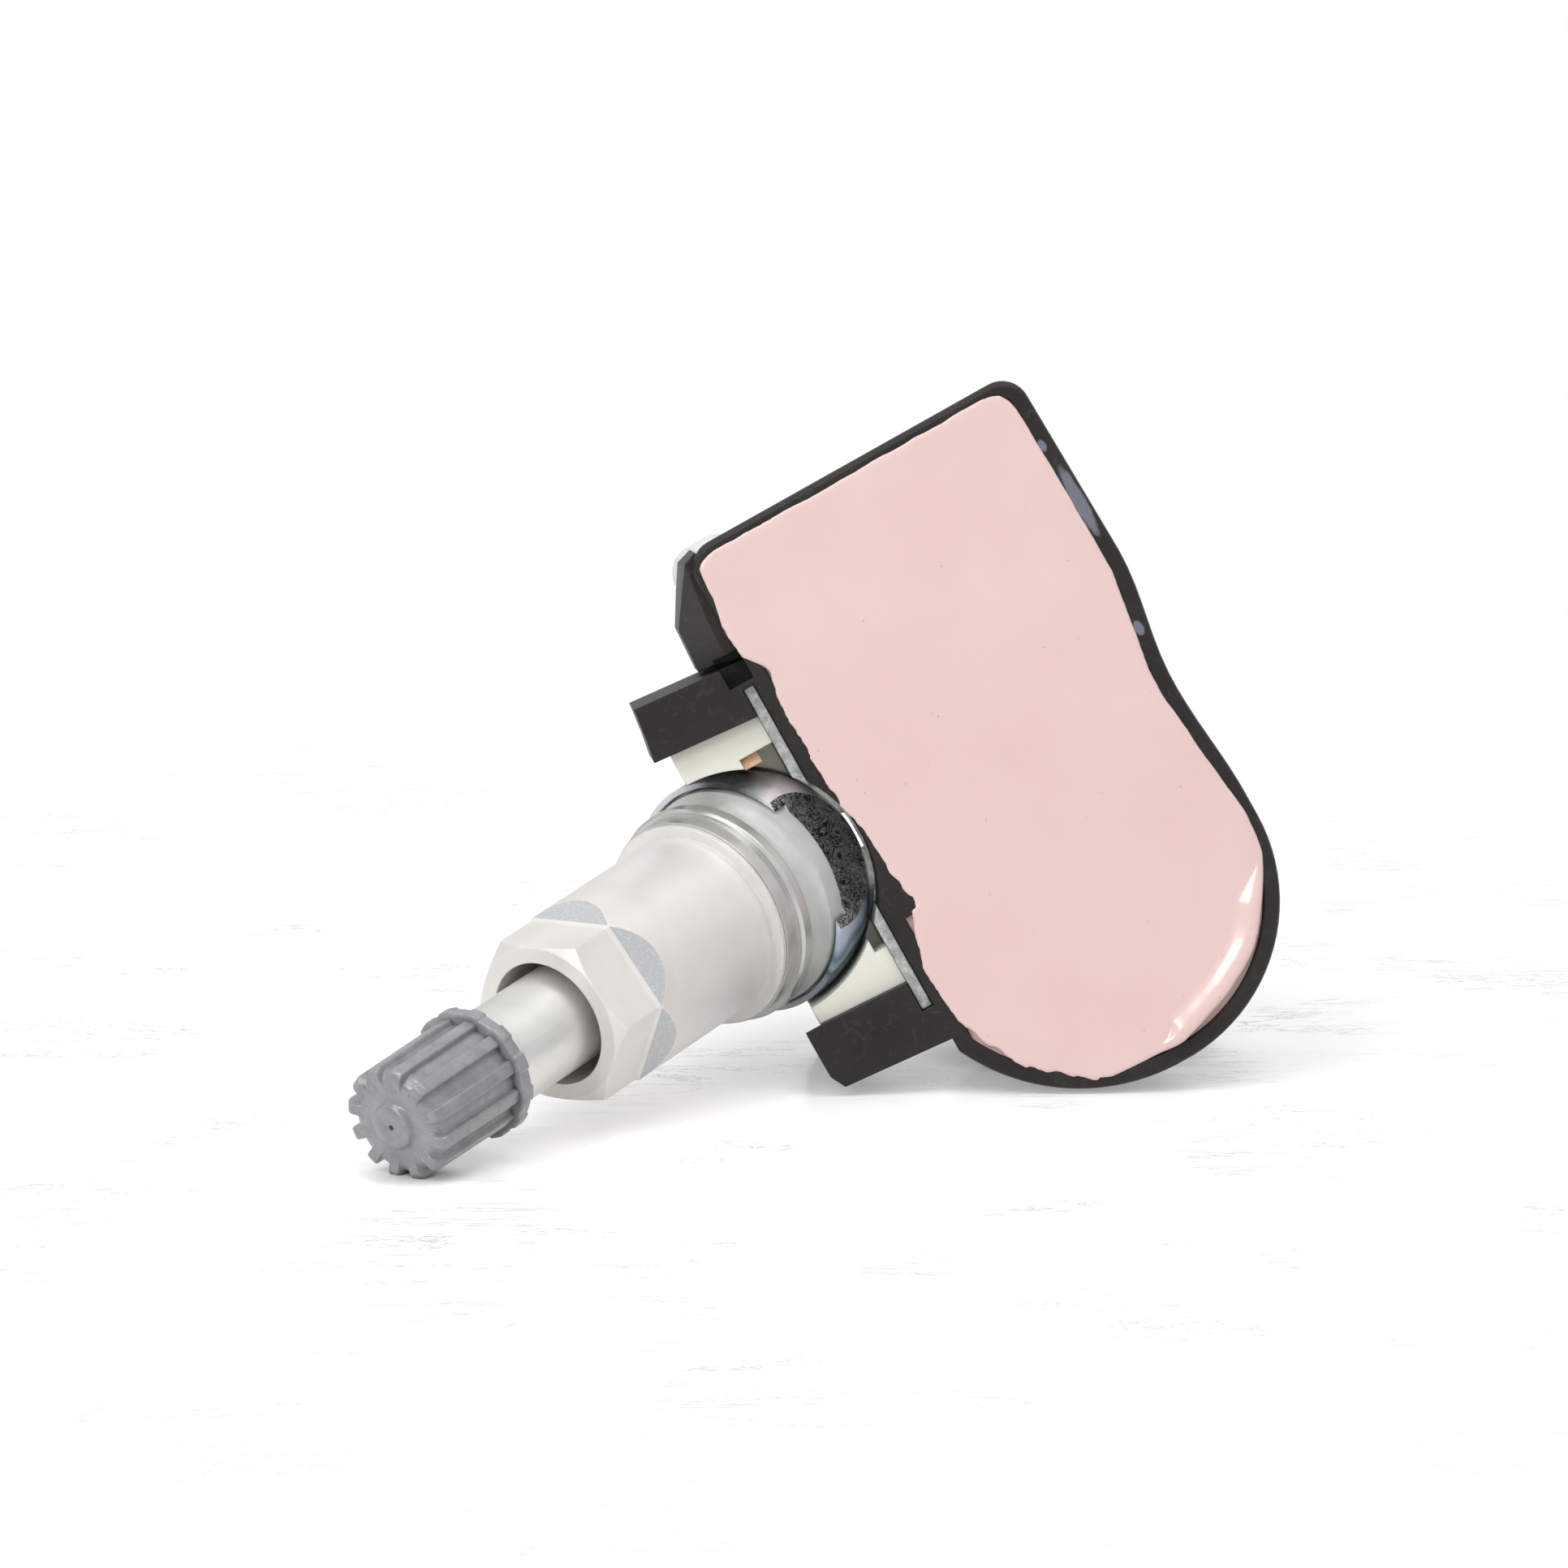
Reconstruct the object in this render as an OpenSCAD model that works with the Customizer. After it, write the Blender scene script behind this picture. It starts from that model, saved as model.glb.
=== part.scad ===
// Tyre pressure sensor with a tilting clamp-in valve, lying as it comes to rest.
// Every piece is drawn in the housing's own axes: X across the housing, Y along it,
// Z out of its open face, with the ball centre of the valve at zero.
// The valve pieces are drawn along their own axis, from the ball centre outwards.

/* [Resting pose] */
// Lean of the housing's long axis away from upright, in degrees
lean = 28.9; // [20:0.1:40]
// Backward tilt of the open face, in degrees
face_tilt = 8.5; // [2:0.1:14]
// Angle of the valve out of the housing's plane, in degrees
valve_tilt = 45.5; // [30:0.1:48]

/* [Housing] */
// Width of the housing
body_w = 28.6; // [26:0.1:34]
// Length of the housing
body_l = 51.1; // [46:0.1:58]
// Depth of the housing
body_d = 16.5; // [14:0.1:20]
// Wall of the housing
wall = 1.3; // [0.9:0.1:1.8]
// Floor of the housing
floor_t = 1.6; // [1:0.1:2.5]
// How far the walls draw in towards the floor
draft = 2.1; // [1:0.1:3]
// Bevel round the floor
floor_bevel = 1.4; // [0.5:0.1:2]
// Radius of the round end
lobe_r = 13.4; // [11:0.1:14.5]
// Radius of the upper corners
corner_r = 2.2; // [1:0.1:3]
// Depth of the waist in the right side
waist = 1.2; // [0.3:0.1:2]
// Rounding of the open rim's outer edge
rim_round = 0.6; // [0.2:0.1:0.9]
// Gap between the open rim and the surface of the sealing compound
fill_drop = 0.5; // [0.2:0.1:1.5]

/* [Ears] */
// Thickness of each ear
ear_t = 4.9; // [3.5:0.1:6]
// Clear gap between the ears
ear_gap = 22.6; // [21.8:0.1:24]
// How far the ears reach past the ball centre
ear_reach = 1.2; // [0.5:0.1:2.5]
// Depth of the ears
ear_d = 13.5; // [10:0.1:15]
// Slope of the ears against the housing, in degrees
ear_slope = 5; // [0:0.5:8]
// Lean of the lower ear's underside, in degrees
ear_lean = 7.3; // [0:0.1:9]

/* [Ball joint] */
// Radius of the ball collar
ball_r = 9.3; // [8.8:0.1:9.6]
// Distance of the ball centre in front of the housing wall
wall_gap = 8; // [7.7:0.1:8.6]
// Distance from the ball centre up to the open rim
rim_up = 6.5; // [5.5:0.1:8]
// Half width across the flats of the ball collar
flat_half = 7.55; // [7:0.05:8]
// Running gap round the ball
ball_gap = 0.2; // [0.1:0.05:0.3]
// Thickness of the retaining plate
plate_t = 0.8; // [0.5:0.1:1]
// How far the retaining plate reaches into each ear
plate_bite = 2.3; // [1.4:0.1:3]
// Half width of the saddle in the retaining plate
saddle_half = 5.2; // [4.6:0.1:5.6]
// Radius of the tee bolt's shank
tee_r = 1.4; // [1:0.1:1.6]

/* [Valve] */
// Radius of the valve stem
stem_r = 3.875; // [3.6:0.005:3.95]
// Radius of the threaded root that carries the nut
root_r = 4.5; // [4.2:0.1:4.6]
// Height of the collar's rim over the ball centre
rim_s = 0.8; // [0.4:0.1:1.2]
// Height of the washer's underside over the ball centre
washer_s = 3.2; // [2.8:0.1:3.8]
// Height of the nut's underside over the ball centre
nut_s = 5.9; // [5.5:0.1:6.5]
// Height of the nut's front face over the ball centre
nut_top_s = 24.6; // [23:0.1:26]
// Height of the cap's mouth over the ball centre
cap_s = 33; // [31:0.1:34]
// Height of the cap's nose over the ball centre
cap_top_s = 43.3; // [42:0.1:45]
// Radius of the grommet's flange
grommet_r = 8.6; // [8:0.1:8.7]

/* [Sleeve nut] */
// Radius of the nut's sleeve
sleeve_r = 7.1; // [7:0.05:7.4]
// Width across the nut's flats
nut_af = 12; // [11:0.1:12.4]
// Radius of the nut's open front bore
nut_bore_r = 4.8; // [4.7:0.1:5.2]
// Length of the flats
flat_l = 4.3; // [3:0.1:6]
// Turn of the nut at rest, in degrees
nut_turn = 5.7; // [0:0.1:30]

/* [Cap] */
// Radius of the cap between its ribs
cap_r = 4.1; // [4:0.05:4.3]
// Height of the cap's ribs
rib_h = 0.4; // [0.2:0.02:0.6]
// Number of ribs on the cap
rib_n = 12; // [8:1:16]
// Width of each rib
rib_w = 1.2; // [0.8:0.1:1.5]

/* [Inside the housing] */
// Thickness of the circuit board
board_t = 1.2; // [0.8:0.1:1.6]
// Radius of the coin cell
cell_r = 10; // [8:0.1:10.2]
// Height of the coin cell
cell_h = 5; // [3.2:0.1:5.2]
// Gap that the sealing compound keeps round each part
fill_gap = 0.05; // [0.03:0.01:0.1]

/* [Hidden] */

// Smoothness of bores, balls and turned pieces
fine = 96;
// Smoothness of small turned pieces
small = 48;
// Overlap of cutting shapes past the face they cut
cut = 0.5;
// Gap between pieces that are pushed together
seat_gap = 0.03;
// Gap between a thread's crest and its bore
thread_gap = 0.06;
eps = 0.01;

// Housing
x_left = wall_gap;
x_right = x_left + body_w;
y_top = 24.55;
y_bottom = y_top - body_l;
z_rim = rim_up;
z_floor = z_rim - body_d;
lobe_in = 0.55;
top_in = 0.4;
lobe_shift = 0.5;
lobe_over = 1.55;
x_lobe = x_right - lobe_in - lobe_r;
lobe_left_x = x_lobe - lobe_shift;
lobe_left_r = lobe_left_x - x_left + lobe_over;
lobe_left_y = y_bottom + lobe_left_r;
lobe_x = x_left + body_w / 2;
lobe_y = y_bottom + lobe_r;
waist_y = -1.5;
waist_low = 10;
waist_up = 10.5;
waist_n = 16;
arc_n = 22;
corner_n = 8;
corner_min = 0.3;

// Ears
ear_out = ear_gap / 2 + ear_t;
ear_left = -ear_reach;
ear_root = x_left + draft + 1.5;
ear_z0 = z_rim - ear_d;
ear_low = ear_out - 0.45;
ear_cut = 40;
mouth_up = 0.85;
mouth_low = 0.5;
mouth_slope = 3;
mouth_lean = 6;
tip_in = 0.6;
wall_bulge = 2.6;
bulge_half = 7;
ear_wall_in = 0.1;
recess_w = 2;
recess_l = 2.4;
recess_d = 3;

// Shoulder beside the upper ear, drawn in front view
shoulder_reach = 2.8;
shoulder_front = 0.6;
shoulder_top = z_rim - 0.9;
shoulder_low = z_rim - 4.6;

// Ball joint
seat_r = ball_r + ball_gap;
band_in = seat_r;
band_out = seat_r + plate_t;
head_in = band_out + ball_gap / 2;
head_out = head_in + 1.1;
pocket_r = head_out + 0.4;
tilt_min = 10;
tilt_max = 50;
head_half = 8;
head_y = 3.2;
plate_x = wall_gap - plate_t;
plate_z0 = z_rim - 15;
plate_z1 = z_rim - 0.7;
slot_gap = 0.08;
slot_angle0 = tilt_min - head_half - 2;
slot_angle1 = tilt_max + head_half + 1;
pocket_half = saddle_half + 0.4;
pocket_top = 2;
saddle_top = 1.6;
saddle_low_x = plate_x - 2;
saddle_low_z = -5.4;
room_gap = 0.15;
plate_l = ear_gap + 2 * plate_bite;
recess_x = plate_x - 0.9;
recess_y = ear_gap / 2 + 2.8;

// Pads
pad_x0 = 0.1;
pad_x1 = plate_x - seat_gap;
pad_z1 = z_rim - 1.1;
pad_z0 = ear_z0 + 0.4;
pad_in = saddle_half + 0.2;
notch_x = 4.4;
notch_y = 9.2;
notch_z = 0.3;
low_notch_x = 6.2;
low_notch_y = 8.2;
leaf_w = 1.4;
leaf_y = 8.3;
leaf_t = 0.25;
leaf_top = 4.6;

// Rest on the upper left corner
pad_rest_r = 2.1;
pad_rest_x = x_left + 0.85;
pad_rest_y = y_top - 2.2;
pad_rest_z = z_floor + 4;
pad_rest_l = 1.6;

// Collar, drawn from the ball centre
back_s = -7;
cup_r = 8.85;
cup_s = -0.5;
socket_s = -3.5;
root_bore_r = 3.1;
air_r = 1.2;
vent_r = 0.5;

// Stem
flange_s = 0.4;
flange_r = 5.6;
root_top_s = 14.5;
thread_r = 3.6;
thread_s = cap_s - 0.15;
stem_top_s = cap_top_s - 2.6;
core_bore_r = 2;
core_bore_s = 28;
head_bore_r = 2.6;
head_bore_s = stem_top_s - 4.5;
stem_chamfer = 0.4;

// Grommet and washer
cove_r = 1.15;
grommet_top_r = 8.2;
washer_r = 8.55;
washer_step_s = 4.5;
washer_step_r = 8.1;
washer_edge = 0.25;

// Nut
nut_flange_r = 7.95;
nut_flange_t = 0.4;
run_out = 2.3;
run_rise = 1.25;
nut_chamfer = 0.7;
nut_thread_top_s = root_top_s + 0.4;

// Cap
cap_mouth_r = cap_r + rib_h + 0.18;
cap_mouth_h = 1.1;
cap_wall_bore = thread_r + thread_gap;
cap_nose_s = cap_top_s - 0.55;
cap_taper = 0.25;
cap_valley = 1.1;
arc_steps = 6;
boss_r = 1.65;
rib_more = 0.1;
rib_round = 0.7;
rib_nose_h = 0.25;
pip_r = 0.35;
pip_d = 0.5;
lug_n = 8;
lug_w = 1.5;
rib_s = cap_s + 0.4;
lug_r = 0.22;
lug_in = 0.15;
gasket_t = 0.5;
gasket_in = 1.7;

// Valve core
core_head_r = head_bore_r - thread_gap;
core_head_s = stem_top_s - 1.4;
core_barrel_r = 1.7;
core_low_s = 31;
core_ledge = 1;
core_inner_r = 1.15;
pin_r = 0.45;
pin_hole_r = 0.55;
pin_top_s = stem_top_s - 0.5;
pin_low_s = core_low_s - 1.3;
pin_flare_r = 0.95;
pin_flare_t = 0.4;
pin_travel = 1.2;
seal_r = core_bore_r - 0.02;
spring_r = 0.8;
wire_r = 0.12;
spring_s0 = core_low_s + core_ledge + wire_r + seat_gap;
spring_s1 = head_bore_s - pin_travel - 0.3;
spring_turns = 5;
spring_steps = 14;
spring_sides = 8;

// Inside parts
cavity_floor = z_floor + floor_t;
board_z = cavity_floor + cell_h + 1.2;
cell_z = cavity_floor + 0.5;
cell_x = lobe_x;
cell_y = lobe_y;
board_inset = wall + draft * 0.6 + 0.35;
inner_block_x = pocket_r + 1.3;
inner_block_half = pocket_half + 1.2;
inner_block_h = body_d - 3;
chip_x = lobe_x - 3;
chip_y = 8.5;
chip_s = 6.5;
chip_h = 1.9;
ferrite_x = lobe_x + 7.5;
ferrite_y = 12;
ferrite_l = 12;
ferrite_r = 1.2;
winding_r = 1.8;
winding_l = 8;
crystal_x = lobe_x - 3;
crystal_y = 16.5;
crystal_l = 5;
crystal_w = 3.2;
crystal_h = 1.1;
tab_w = 3;
tab_t = 0.3;
tab_l = 9;

// Turns a point of the valve's axis into the housing's axes
function on_axis(s) = [-cos(valve_tilt) * s, 0, sin(valve_tilt) * s];

// Stands the housing's axes in the resting pose, with the wheel's seat at the origin
module placed() {
    rotate([90 - face_tilt, 0, 0])
        rotate([0, 0, lean])
            translate(-on_axis(washer_s))
                children();
}

// Puts pieces drawn along the valve's own axis in the housing's axes
module on_valve() {
    rotate([0, valve_tilt - 90, 0])
        children();
}

// Turns a profile about the housing's tilt axis, from one angle to another
module about_tilt_axis(from, to) {
    rotate([90, 0, 0])
        rotate([0, 0, -to])
            rotate_extrude(angle = to - from, $fn = fine)
                children();
}

// Points along an arc
function arc(x, y, r, from, to, n) = [
    for (i = [0:n])
        let (a = from + (to - from) * i / n)
            [x + r * cos(a), y + r * sin(a)]
];

// Right side of the housing, drawn in at the waist
function side_x(y) = y < waist_y
    ? x_lobe + lobe_r - (waist - lobe_in) * pow(cos(90 * (waist_y - y) / waist_low), 2)
    : x_right - waist * pow(cos(90 * (y - waist_y) / waist_up), 2);

// Front view of the housing, inset all round: a round end of two arcs, the waist and the upper box
function outline_points(inset) =
    let (r = max(corner_r - inset, corner_min), c = inset + r)
        concat(
            arc(lobe_left_x, lobe_left_y, lobe_left_r - inset,
                180 + acos((lobe_left_x - x_left - inset) / (lobe_left_r - inset)), 268, arc_n),
            arc(x_lobe, lobe_y, lobe_r - inset, 272, 360, arc_n),
            [
                for (i = [1:waist_n])
                    let (y = lobe_y + (waist_y + waist_up - lobe_y) * i / waist_n)
                        [side_x(y) - inset, y]
            ],
            arc(x_right - c - top_in, y_top - c, r, 0, 90, corner_n),
            arc(x_left + c, y_top - c, r, 90, 180, corner_n)
        );

module outline(inset = 0) {
    polygon(outline_points(inset));
}

// Wall's draw-in at a given depth below the rim
function drawn(depth) = draft * depth / body_d;

// Solid through a stack of outlines, each given as a depth below the rim and an inset
module loft(stack) {
    rings = [for (s = stack) [for (q = outline_points(s[1] + drawn(s[0]))) [q[0], q[1], z_rim - s[0]]]];
    n = len(rings[0]);
    last = len(stack) - 1;
    points = [for (q = rings) each q];
    sides = [
        for (i = [0:last - 1])
            for (k = [0:n - 1])
                let (a = i * n, m = (k + 1) % n)
                    [a + k, a + m, a + n + m, a + n + k]
    ];
    top = [for (k = [n - 1:-1:0]) k];
    low = [for (k = [0:n - 1]) last * n + k];
    polyhedron(points = points, faces = concat(sides, [top], [low]));
}

// Outside of the housing with its rounded rim and its bevelled floor edge
module housing_outside() {
    loft([
        [0, rim_round * 0.8],
        [rim_round * 0.3, rim_round * 0.3],
        [rim_round, 0],
        [body_d - floor_bevel, 0],
        [body_d - floor_bevel * 0.35, floor_bevel * 0.35],
        [body_d, floor_bevel]
    ]);
}

// Hollow of the housing, which keeps its wall round the ball's pocket
module cavity(inset, top) {
    difference() {
        loft([[z_rim - top, wall + inset], [body_d - floor_t - inset, wall + inset]]);
        translate([x_left - cut, -inner_block_half - inset, cavity_floor - 1])
            cube([inner_block_x - x_left + cut + inset, 2 * (inner_block_half + inset), inner_block_h]);
        translate([x_left - cut, -bulge_half - inset, cavity_floor - 1])
            cube([wall_bulge + cut + inset, 2 * (bulge_half + inset), body_d + 1]);
    }
}

// Front view of the upper ear, which leans with its slope
module ear_shape() {
    polygon([
        [ear_left, ear_gap / 2 + mouth_up],
        [ear_left + 0.3, ear_out - 2.3],
        [ear_left + tip_in, ear_out + 0.15],
        [ear_root, ear_out + 0.15 - tan(ear_slope) * (ear_root - ear_left)],
        [ear_root, ear_gap / 2 + mouth_up - tan(ear_slope) * (ear_root - ear_left)]
    ]);
}

// Front view of the lower ear
module lower_ear_shape() {
    polygon([
        [ear_left, -ear_gap / 2 + mouth_low],
        [ear_left, -ear_out + 1.6],
        [ear_left + tip_in, -ear_low],
        [ear_root, -ear_low - tan(ear_slope) * (ear_root - ear_left - tip_in)],
        [ear_root, -ear_gap / 2 + mouth_low - tan(mouth_slope) * (ear_root - ear_left)]
    ]);
}

// Lower ear, whose underside and mouth edge lean in towards the back
module lower_ear() {
    difference() {
        translate([0, 0, ear_z0])
            linear_extrude(height = ear_d)
                lower_ear_shape();
        translate([ear_left + tip_in, -ear_low, z_rim])
            rotate([ear_lean, 0, -ear_slope])
                translate([-ear_cut / 2, -ear_cut, -ear_cut / 2])
                    cube(ear_cut);
        translate([pad_x0 - ear_cut, -ear_gap / 2 + mouth_low, z_rim])
            rotate([-mouth_lean, 0, 0])
                translate([0, 0, -ear_cut / 2])
                    cube(ear_cut);
    }
}

// Straight wall between the ears that backs the retaining plate
module ear_wall() {
    translate([x_left, -ear_gap / 2 - 1, ear_z0])
        cube([draft + wall, ear_gap + 2, ear_d - ear_wall_in]);
}

// Front view of the shoulder that joins the upper ear to the housing's corner
module shoulder_shape(reach) {
    polygon([
        [x_left + 1, y_top - 0.3],
        [x_left - 0.1 * reach, y_top - 0.7],
        [x_left - 0.25 * reach, y_top - 1.4],
        [x_left - reach, y_top - 4.9],
        [x_left - reach, y_top - 7],
        [x_left - reach - 0.2, ear_out],
        [ear_root, ear_out - 1]
    ]);
}

// Shoulder beside the upper ear, lower towards its edge
module shoulder() {
    hull() {
        translate([0, 0, shoulder_top])
            linear_extrude(height = eps)
                shoulder_shape(shoulder_front);
        translate([0, 0, ear_z0])
            linear_extrude(height = shoulder_low - ear_z0)
                shoulder_shape(shoulder_reach);
    }
}

// Room that lets the ball be dropped in from the open side
module ball_room(r) {
    sphere(r = r, $fn = fine);
    cylinder(r = r, h = body_d, $fn = fine);
}

// Room for the ball, the saddle and the tee bolt's sweep in the housing's wall
module joint_pocket() {
    rotate([90, 0, 0])
        cylinder(r = pocket_r, h = 2 * pocket_half, center = true, $fn = fine);
}

module housing() {
    color("#33312f")
    difference() {
        union() {
            housing_outside();
            translate([0, 0, ear_z0])
                linear_extrude(height = ear_d)
                    ear_shape();
            lower_ear();
            ear_wall();
            shoulder();
        }
        cavity(0, z_rim + cut);
        intersection() {
            joint_pocket();
            translate([0, -pocket_half, z_floor - 1])
                cube([pocket_r + 1, 2 * pocket_half, pocket_top - z_floor + 1]);
        }
        ball_room(seat_r + room_gap);
        translate([plate_x - slot_gap, -plate_l / 2 - slot_gap, plate_z0 - slot_gap])
            cube([plate_t + 2 * slot_gap, plate_l + 2 * slot_gap, body_d]);
        translate([recess_x, recess_y, z_rim - recess_d])
            cube([recess_w, recess_l, recess_d + cut]);
    }
}

// Sealing compound that fills the housing round the board and the cell
module potting() {
    color("#ecd0cc")
    difference() {
        cavity(seat_gap, z_rim - fill_drop);
        board_solid(fill_gap);
        cell_solid(fill_gap);
        chip_solid(fill_gap);
        crystal_solid(fill_gap);
        antenna_room(fill_gap);
        upper_tab_solid(fill_gap);
        lower_tab_solid(fill_gap);
    }
}

// Rounded pale rest on the side of the upper left corner, near the floor
module rest_pad() {
    color("#d9d8d6")
    difference() {
        translate([pad_rest_x, pad_rest_y, pad_rest_z]) {
            sphere(r = pad_rest_r, $fn = small);
            rotate([0, 90, 0])
                cylinder(r = pad_rest_r, h = pad_rest_l, $fn = small);
            translate([pad_rest_l, 0, 0])
                sphere(r = pad_rest_r, $fn = small);
        }
        housing_outside();
        shoulder();
    }
}

// Board outline with the gap that its neighbours keep
module board_solid(gap) {
    difference() {
        translate([0, 0, board_z - gap])
            linear_extrude(height = board_t + 2 * gap)
                offset(delta = gap)
                    outline(board_inset);
        translate([x_left, -inner_block_half - 0.4 + gap, board_z - 1])
            cube([inner_block_x - x_left + 0.4 - gap, 2 * (inner_block_half + 0.4 - gap), board_t + 2]);
    }
}

module circuit_board() {
    color("#2f6b3c")
        board_solid(0);
}

module cell_solid(gap) {
    translate([cell_x, cell_y, cell_z - gap])
        cylinder(r = cell_r + gap, h = cell_h + 2 * gap, $fn = fine);
}

module coin_cell() {
    color("#c9cbcc")
        cell_solid(0);
}

// Strip that joins the cell to the board at its side
module tab_strip(y, z, rise, gap) {
    translate([cell_x - tab_w / 2 - gap, y - gap, z - gap])
        cube([tab_w + 2 * gap, tab_l + 2 * gap, tab_t + 2 * gap]);
    translate([cell_x - tab_w / 2 - gap, y + tab_l - tab_t - gap, z - gap])
        cube([tab_w + 2 * gap, tab_t + 2 * gap, rise + 2 * gap]);
}

module upper_tab_solid(gap) {
    tab_strip(cell_y + cell_r - tab_l + 2.2, cell_z + cell_h, board_z - cell_z - cell_h, gap);
}

module cell_tab_upper() {
    color("#b9bcbd")
        upper_tab_solid(0);
}

module lower_tab_solid(gap) {
    tab_strip(cell_y + cell_r - tab_l + 4, cell_z - tab_t, board_z - cell_z + tab_t, gap);
}

module cell_tab_lower() {
    color("#b9bcbd")
        lower_tab_solid(0);
}

module chip_solid(gap) {
    translate([chip_x - chip_s / 2 - gap, chip_y - chip_s / 2 - gap, board_z + board_t - gap])
        cube([chip_s + 2 * gap, chip_s + 2 * gap, chip_h + 2 * gap]);
}

module sensor_chip() {
    color("#222222")
        difference() {
            chip_solid(0);
            translate([chip_x, chip_y, board_z + board_t + chip_h - 0.4])
                cylinder(r = 0.8, h = 1, $fn = small);
        }
}

module crystal_solid(gap) {
    translate([crystal_x - crystal_l / 2 - gap, crystal_y - crystal_w / 2 - gap, board_z + board_t - gap])
        cube([crystal_l + 2 * gap, crystal_w + 2 * gap, crystal_h + 2 * gap]);
}

module timing_crystal() {
    color("#bfc1c2")
        crystal_solid(0);
}

module antenna_axis() {
    translate([ferrite_x, ferrite_y, board_z + board_t + winding_r])
        rotate([90, 0, 0])
            children();
}

module antenna_core() {
    color("#3c3a38")
        antenna_axis()
            cylinder(r = ferrite_r, h = ferrite_l, center = true, $fn = small);
}

module antenna_winding() {
    color("#b06a34")
        antenna_axis()
            difference() {
                cylinder(r = winding_r, h = winding_l, center = true, $fn = small);
                cylinder(r = ferrite_r + seat_gap, h = winding_l + 1, center = true, $fn = small);
            }
}

module antenna_room(gap) {
    antenna_axis() {
        cylinder(r = winding_r + gap, h = winding_l + 2 * gap, center = true, $fn = small);
        cylinder(r = ferrite_r + gap, h = ferrite_l + 2 * gap, center = true, $fn = small);
    }
}

// Half of the ball's seat between an ear and the saddle, drawn upwards, with a notch beside the plate
module seat_pad(outer, slope, corner_x, corner_y) {
    difference() {
        translate([0, 0, pad_z0])
            linear_extrude(height = pad_z1 - pad_z0)
                polygon([
                    [pad_x0, pad_in],
                    [pad_x1, pad_in],
                    [pad_x1, outer + slope * (pad_x1 - ear_left)],
                    [pad_x0, outer + slope * (pad_x0 - ear_left)]
                ]);
        ball_room(seat_r);
        translate([corner_x, pad_in - cut, notch_z])
            cube([pad_x1 - corner_x + cut, corner_y - pad_in + cut, body_d]);
    }
}

module seat_pad_upper() {
    color("#e8e9d6")
        seat_pad(ear_gap / 2 + mouth_up - seat_gap, -tan(ear_slope), notch_x, notch_y);
}

module seat_pad_lower() {
    color("#e8e9d6")
        mirror([0, 1, 0])
            seat_pad(ear_gap / 2 - mouth_low - seat_gap, tan(mouth_slope), low_notch_x, low_notch_y);
}

// Steel plate in the ears' slots, pressed out to a saddle round the ball's back
module retaining_plate() {
    color("#b9bbb8")
    difference() {
        union() {
            translate([plate_x, -plate_l / 2, plate_z0])
                cube([plate_t, plate_l, plate_z1 - plate_z0]);
            intersection() {
                rotate([90, 0, 0])
                    cylinder(r = band_out, h = 2 * saddle_half, center = true, $fn = fine);
                translate([saddle_low_x, -saddle_half, plate_z0])
                    cube([band_out, 2 * saddle_half, saddle_top - plate_z0]);
            }
        }
        ball_room(seat_r);
        translate([saddle_low_x - cut, -saddle_half - cut, saddle_low_z])
            cube([plate_x - saddle_low_x + cut, 2 * saddle_half + 2 * cut, ear_d]);
        rotate([90, 0, 0])
            cylinder(r = band_in, h = 2 * (saddle_half - plate_t), center = true, $fn = fine);
        about_tilt_axis(slot_angle0 - 1, slot_angle1 + 4)
            translate([band_in - 1, -tee_r - 0.15])
                square([3, 2 * tee_r + 0.3]);
        about_tilt_axis(slot_angle0 - 1, slot_angle1 + 4)
            translate([band_out + eps, -head_y - 0.25])
                square([pocket_r - band_out + 1, 2 * head_y + 0.5]);
    }
}

// Copper leaf in the upper pad's notch, hooked over beside the ball
module contact_spring() {
    color("#c98a4b")
        translate([notch_x + seat_gap, 0, 0])
            rotate([90, 0, 90])
                linear_extrude(height = leaf_w)
                    polygon([
                        [leaf_y, notch_z + seat_gap],
                        [leaf_y + leaf_t, notch_z + seat_gap],
                        [notch_y - seat_gap, leaf_top],
                        [leaf_y + leaf_t, leaf_top + 0.7],
                        [leaf_y, leaf_top + 0.5],
                        [notch_y - leaf_t - 0.1, leaf_top - 0.05]
                    ]);
}

// Ball collar with two flats, a cup for the grommet and a bore for the stem
module collar() {
    color("#c3c8cc")
    on_valve()
        difference() {
            intersection() {
                sphere(r = ball_r, $fn = fine);
                translate([-flat_half, -ball_r - 1, back_s])
                    cube([2 * flat_half, 2 * ball_r + 2, rim_s - back_s]);
            }
            translate([0, 0, cup_s])
                cylinder(r = cup_r, h = 3, $fn = fine);
            translate([0, 0, socket_s])
                cylinder(r = root_bore_r, h = 6, $fn = fine);
            translate([0, 0, back_s - 1])
                cylinder(r = tee_r + seat_gap, h = 8, $fn = small);
        }
}

// Bolt from the ball's back through the saddle, with a head that follows its curve
module tee_bolt() {
    color("#8f9294")
    difference() {
        union() {
            on_valve()
                translate([0, 0, -head_in - 0.3])
                    cylinder(r = tee_r, h = head_in + 0.3 + socket_s - 0.3, $fn = small);
            about_tilt_axis(valve_tilt - head_half, valve_tilt + head_half)
                translate([head_in, -head_y])
                    square([head_out - head_in, 2 * head_y]);
        }
        on_valve()
            translate([0, 0, -head_out - 1])
                cylinder(r = vent_r, h = head_out, $fn = small);
    }
}

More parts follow.
